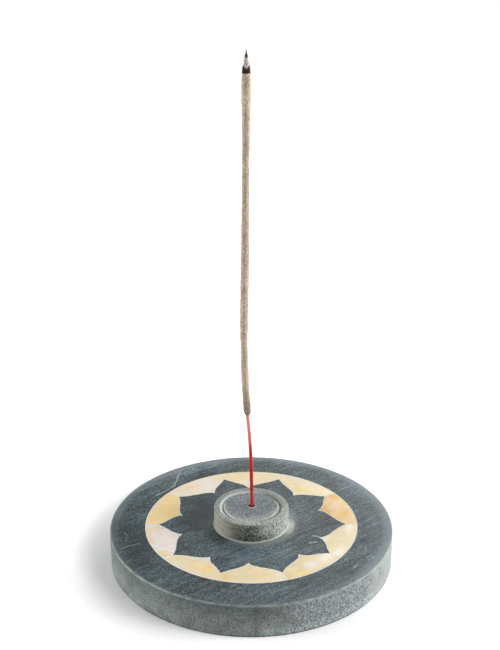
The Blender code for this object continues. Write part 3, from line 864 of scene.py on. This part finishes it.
def build_cement(material):
    """One bed of cement, level with the stone, with a pocket for each shell piece."""
    bm = bmesh.new()
    for k in range(PETALS):
        outside = sector_boundary(k, 0.0, 0.0, 1.0)
        pocket = corner_fixed(sector_boundary(k, JOINT, FILLER, NIB_CUT), k, JOINT, FILLER)
        outside.insert(EDGE_STEPS, outside[EDGE_STEPS])
        top_out = add_ring(bm, [(x, y, DISC_TOP - SUNK) for x, y in outside])
        top_in = add_ring(bm, [(x, y, DISC_TOP - SUNK) for x, y in pocket])
        floor = add_ring(bm, [(x, y, PEARL_BOTTOM) for x, y in pocket])
        under = add_ring(bm, [(x, y, RECESS_FLOOR) for x, y in outside])
        bridge(bm, top_out, top_in)
        bridge(bm, top_in, floor)
        bridge(bm, under, top_out)
        bm.faces.new(floor)
        bm.faces.new(under)
    bmesh.ops.remove_doubles(bm, verts=bm.verts, dist=0.002 * MM)
    bmesh.ops.triangulate(bm, faces=[face for face in bm.faces if len(face.verts) > 4])
    return new_object("inlay_filler", bm, "base", "inlay_cement", material, 30.0)


# ---- stick
def measured_levels(node):
    """The CAD piece's rings, lowest first, as (height, centre x, centre y, outer radius)."""
    levels = {}
    for vertex in NODES[node].data.vertices:
        levels.setdefault(round(vertex.co.z, 6), []).append(vertex.co)
    found = []
    for height in sorted(levels):
        ring = levels[height]
        x, y = (0.5 * (min(p[axis] for p in ring) + max(p[axis] for p in ring)) for axis in (0, 1))
        found.append((height, x, y, max(hypot(p.x - x, p.y - y) for p in ring)))
    return found


CENTRE_X, CENTRE_Y, OUTER_RADIUS = 1, 2, 3
CORE_LEVELS = measured_levels("bamboo_core")
PASTE_LEVELS = measured_levels("incense_paste")


def smooth_read(levels, column, height):
    """A column of the levels at a height, by cubic Hermite pieces."""
    height = min(max(height, levels[0][0]), levels[-1][0])
    i = next(i for i in range(len(levels) - 1) if height <= levels[i + 1][0] or i == len(levels) - 2)
    before, start = levels[max(i - 1, 0)], levels[i]
    end, after = levels[i + 1], levels[min(i + 2, len(levels) - 1)]
    span = end[0] - start[0]
    start_slope = (end[column] - before[column]) / (end[0] - before[0]) * span
    end_slope = (after[column] - start[column]) / (after[0] - start[0]) * span
    t = (height - start[0]) / span
    return (
        (2 * t**3 - 3 * t**2 + 1) * start[column] + (t**3 - 2 * t**2 + t) * start_slope
        + (3 * t**2 - 2 * t**3) * end[column] + (t**3 - t**2) * end_slope
    )


def stick_centre(height):
    """Where the middle of the bent stick is at a height."""
    return smooth_read(CORE_LEVELS, CENTRE_X, height), smooth_read(CORE_LEVELS, CENTRE_Y, height)


def stick_rings(bm, sections, segments, roughen, seed):
    """Rings round the stick's line; each section is (height, radius), roughened by noise."""
    coarse, fine = roughen
    rings = []
    for height, radius in sections:
        centre = stick_centre(height)
        ring = []
        for i in range(segments):
            angle = TURN * i / segments
            px, py = polar(radius, angle, centre)
            swell = coarse * bumps(px, py, height, 2.4 * MM, seed)
            swell += fine * bumps(px, py, height, 0.45 * MM, seed)
            ring.append((*polar(radius + swell, angle, centre), height))
        rings.append(add_ring(bm, ring))
    for first, second in zip(rings, rings[1:]):
        bridge(bm, first, second)
    return rings


def closed_rod(name, sections, segments, roughen, seed, replaced, material):
    bm = bmesh.new()
    rings = stick_rings(bm, sections, segments, roughen, seed)
    for ring, section in ((rings[0], sections[0]), (rings[-1], sections[-1])):
        height = section[0]
        fan(bm, ring, (*stick_centre(height), height))
    return new_object(name, bm, "stick", replaced, material, 60.0)


def spaced(low, high, spacing):
    """Even steps from low to high, as near to the spacing as they fit."""
    count = max(1, round((high - low) / spacing))
    return [low + (high - low) * i / count for i in range(count + 1)]


def build_bamboo(material):
    """The core, which narrows above the ash to a thin charred wick."""
    low, high = CORE_LEVELS[0][0], CORE_LEVELS[-1][0]
    sections = [(low, 0.35 * MM)]
    bare = high - 2.6 * MM
    for height in spaced(low + 0.15 * MM, bare, 0.8 * MM):
        sections.append((height, smooth_read(CORE_LEVELS, OUTER_RADIUS, height)))
    for share, radius in WICK:
        sections.append((bare + (high - bare) * share, radius * MM))
    roughen = (0.03 * MM, 0.015 * MM)
    return closed_rod("dyed_bamboo_core", sections, 24, roughen, 2.0, "bamboo_core", material)


def build_paste(material):
    """The rolled paste, rounded off at its lower end."""
    low, high = PASTE_LEVELS[0][0], PASTE_LEVELS[-1][0] + 0.15 * MM
    sections = []
    swell = smooth_read(PASTE_LEVELS, OUTER_RADIUS, low + 2.0 * MM) - PASTE_END
    for share in (0.0, 0.12, 0.3, 0.55, 0.8):
        sections.append((low + 1.6 * MM * share, PASTE_END + swell * share**0.5))
    for height in spaced(low + 1.8 * MM, high, 0.3 * MM):
        sections.append((height, smooth_read(PASTE_LEVELS, OUTER_RADIUS, height)))
    roughen = (0.10 * MM, 0.045 * MM)
    return closed_rod("rolled_paste", sections, 36, roughen, 4.0, "incense_paste", material)


def build_char(material):
    """The charred band is a thin collar round the ash, and its rim stands higher at the sides."""
    low, high = (corner.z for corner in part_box("charred_paste"))
    low -= 0.15 * MM
    bm = bmesh.new()
    segments, rings = 40, []
    for share, radius, rise in COLLAR:
        ring = []
        for i in range(segments):
            angle = TURN * i / segments
            height = low + (high - low) * 0.8 * share + rise * MM * cos(angle) ** 2
            centre = stick_centre(height)
            px, py = polar(radius * MM, angle, centre)
            swell = 0.07 * MM * bumps(px, py, height, 0.5 * MM, 6.0)
            ring.append((*polar(radius * MM + swell, angle, centre), height + 1.5 * swell * rise))
        rings.append(add_ring(bm, ring))
    for first, second in zip(rings, rings[1:]):
        bridge(bm, first, second)
    for ring in (rings[0], rings[-1]):
        height = sum(vertex.co.z for vertex in ring) / segments
        fan(bm, ring, (*stick_centre(height), height))
    return new_object("charred_band", bm, "stick", "charred_paste", material, 60.0)


def build_ash(material):
    """A cone of ash that narrows from the char collar to the bare wick."""
    low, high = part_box("charred_paste")[0].z + 0.3 * MM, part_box("ash_tip")[1].z + 0.2 * MM
    ash = []
    for height in spaced(low, high, 0.2 * MM):
        share = (height - low) / (high - low)
        ash.append((height, (1.13 - 0.57 * share**1.2) * MM))
    return closed_rod("ash_cone", ash, 32, (0.05 * MM, 0.05 * MM), 8.0, "ash_tip", material)


# ---- set
# How strongly the floor glows as painted light: next to the object, where the low value is a painted
# shadow, in the open round it, and far away
FLOOR_GLOW = (0.24, 0.50, 1.0)
# Middle of the floor's glowing rings, off to the left so that the painted shadow falls left of the object.
PAINTED_SHADOW_CENTRE = (-6.4 * MM, 7.4 * MM)
PAINTED_CONTACT_DEPTH = 0.16
# The floor's rings, in metres: (radius, height)
FLOOR_SWEEP = [(8.0, 0.0), (9.0, 0.04), (9.6, 0.16), (9.9, 0.4), (10.0, 0.8)]
LIGHT_TARGET = (0.0, 0.0, 0.02)
LIGHT_DISTANCE = 0.6
CAMERA_PLACE = (-0.47 * MM, -347.3 * MM, 221.2 * MM)
CAMERA_DOWN = 21.065
CAMERA_LENS = 62.1


def floor_material():
    """White that glows as painted light, dimmed next to the object and off to its left as a painted shadow,
    and dimmed a little more right round the disc.
    """
    s = Shader("floor_glow_painted_shadow")
    radius = s.radius(PAINTED_SHADOW_CENTRE)
    near, open_floor, far = FLOOR_GLOW
    glow_and_painted_shadow = s.band(radius, DISC_RADIUS - 0.5 * MM, DISC_RADIUS + 10.5 * MM, near, open_floor)
    glow_and_painted_shadow = s.add(glow_and_painted_shadow, s.band(radius, 0.15, 0.8, 0.0, far - open_floor))
    # Painted shadow: the floor glows less right round the disc.
    painted_contact_shadow = s.band(s.radius(), DISC_RADIUS - 1.0 * MM, DISC_RADIUS + 18.0 * MM, -PAINTED_CONTACT_DEPTH, 0.0)
    s.plug(s.surface.inputs["Emission Strength"], s.add(glow_and_painted_shadow, painted_contact_shadow))
    s.surface.inputs["Emission Color"].default_value = WHITE
    return s.finish((0.88, 0.88, 0.88), 0.9, specular=0.1)


def build_floor(material):
    """A pale sweep of floor, turned up far away so that no view shows its edge."""
    bm = bmesh.new()
    rings = []
    for radius, height in FLOOR_SWEEP:
        rings.append(add_ring(bm, [(*polar(radius, TURN * i / 64), height) for i in range(64)]))
    bm.faces.new(rings[0])
    for first, second in zip(rings, rings[1:]):
        bridge(bm, first, second)
    mesh = bpy.data.meshes.new("studio_floor")
    bm.to_mesh(mesh)
    bm.free()
    floor = bpy.data.objects.new("studio_floor", mesh)
    bpy.context.scene.collection.objects.link(floor)
    mesh.materials.append(material)


def add_light(name, azimuth, elevation, size, power, polarised=False):
    """A square softbox that faces the object. A cross-polarised one leaves no glare."""
    target = Vector(LIGHT_TARGET)
    turn, lift = radians(azimuth), radians(elevation)
    away = Vector((cos(lift) * cos(turn), cos(lift) * sin(turn), sin(lift)))
    place = target + LIGHT_DISTANCE * away
    light = bpy.data.lights.new(name, "AREA")
    light.shape = "SQUARE"
    light.size = size
    light.energy = power
    holder = bpy.data.objects.new(name, light)
    bpy.context.scene.collection.objects.link(holder)
    holder.location = place
    holder.rotation_euler = (target - place).to_track_quat("-Z", "Y").to_euler()
    holder.visible_glossy = not polarised


def build_lights():
    add_light("softbox_right", -12.0, 14.0, 0.32, 5.5, polarised=True)
    add_light("softbox_back_right", 30.0, 30.0, 0.4, 0.7)
    add_light("softbox_back", 62.0, 30.0, 0.4, 1.2)
    add_light("softbox_behind", 92.0, 32.0, 0.4, 0.5)
    add_light("softbox_left", 184.0, 12.0, 0.3, 4.3, polarised=True)
    world = bpy.data.worlds.new("dim_room")
    bpy.context.scene.world = world
    world.use_nodes = True
    background = world.node_tree.nodes["Background"]
    background.inputs["Color"].default_value = WHITE
    background.inputs["Strength"].default_value = 0.02


def build_camera():
    """The camera of the photograph, as solved from its ellipses."""
    camera = bpy.data.cameras.new("camera")
    camera.lens = CAMERA_LENS
    camera.clip_start = 0.01
    holder = bpy.data.objects.new("camera", camera)
    bpy.context.scene.collection.objects.link(holder)
    holder.location = CAMERA_PLACE
    holder.rotation_euler = (radians(90.0 - CAMERA_DOWN), 0.0, 0.0)
    bpy.context.scene.camera = holder
    bpy.context.scene.view_settings.view_transform = "Standard"


CREAM, PALE, SAND = (0.86, 0.73, 0.46), (0.85, 0.77, 0.60), (0.75, 0.61, 0.34)
PEACH, LILAC, YELLOW = (0.89, 0.69, 0.41), (0.86, 0.78, 0.72), (0.83, 0.67, 0.24)
TAN, AMBER, GOLD = (0.77, 0.50, 0.17), (0.76, 0.41, 0.01), (0.96, 0.72, 0.33)
# Each shell piece: its base tone, then its patches. A patch is (tone, radius and degrees of its middle,
# half length, half width, lean in degrees), with lengths in millimetres.
SHELL_TONES = [
    (TAN, [(AMBER, 33.0, 9.0, 4.8, 2.2, 57.0), (AMBER, 29.0, 18.0, 4.2, 2.8, 107.0),
           (AMBER, 35.8, 31.0, 2.6, 1.4, 120.0), ((0.81, 0.58, 0.33), 33.0, 22.0, 4.0, 1.8, 60.0)]),
    (CREAM, [(YELLOW, 29.6, 52.0, 3.2, 2.0, 142.0), (PEACH, 32.2, 59.0, 3.6, 1.6, 150.0),
             (PALE, 36.4, 56.0, 9.0, 1.6, 146.0)]),
    (CREAM, [(PEACH, 34.0, 98.0, 5.0, 3.0, 10.0), (PEACH, 31.5, 82.0, 3.0, 2.0, 0.0),
             (PALE, 29.0, 94.0, 3.0, 2.0, 10.0)]),
    (PALE, [(LILAC, 32.0, 119.0, 5.5, 3.0, 110.0), (PEACH, 34.2, 133.0, 4.0, 2.0, 30.0),
            (CREAM, 35.0, 113.0, 3.0, 1.6, 80.0)]),
    (GOLD, [((0.98, 0.69, 0.25), 30.6, 165.0, 4.5, 1.8, 75.0),
            ((0.94, 0.76, 0.46), 36.8, 158.0, 8.0, 1.2, 68.0)]),
    (LILAC, [(PEACH, 36.9, 194.0, 8.5, 1.6, 104.0), (CREAM, 33.6, 186.5, 3.0, 2.0, 90.0),
             (PALE, 28.0, 197.0, 3.0, 2.2, 107.0), (PEACH, 36.0, 213.0, 3.0, 1.6, 140.0)]),
    (CREAM, [(GOLD, 32.5, 241.0, 5.5, 3.0, 150.0), (PALE, 28.4, 236.0, 3.4, 2.4, 146.0),
            (PALE, 37.3, 232.0, 10.0, 1.1, 142.0)]),
    (CREAM, [((0.87, 0.67, 0.30), 35.0, 256.0, 3.2, 2.2, 166.0), (PEACH, 32.6, 276.0, 4.0, 2.6, 0.0),
             (PALE, 34.6, 285.0, 3.6, 1.6, 100.0)]),
    (SAND, [(YELLOW, 35.8, 297.5, 4.4, 2.0, 207.0), (LILAC, 33.2, 307.0, 3.2, 2.4, 40.0),
            (PEACH, 32.4, 293.5, 3.0, 2.0, 20.0), (PALE, 33.5, 319.0, 4.0, 2.4, 50.0)]),
    (SAND, [(PALE, 35.2, 327.0, 4.4, 1.8, 60.0), (PALE, 34.8, 355.0, 4.4, 1.6, 85.0),
            (PALE, 27.6, 339.0, 2.6, 1.6, 70.0)]),
]


def main():
    build_camera()
    build_lights()
    build_floor(floor_material())
    build_stone(stone_material())
    build_cement(cement_material())
    for k, tones in enumerate(SHELL_TONES):
        build_pearl(k, pearl_material(k, *tones))
    build_bamboo(bamboo_material(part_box("charred_paste")[0].z))
    build_paste(paste_material())
    build_char(char_material())
    build_ash(ash_material())


main()
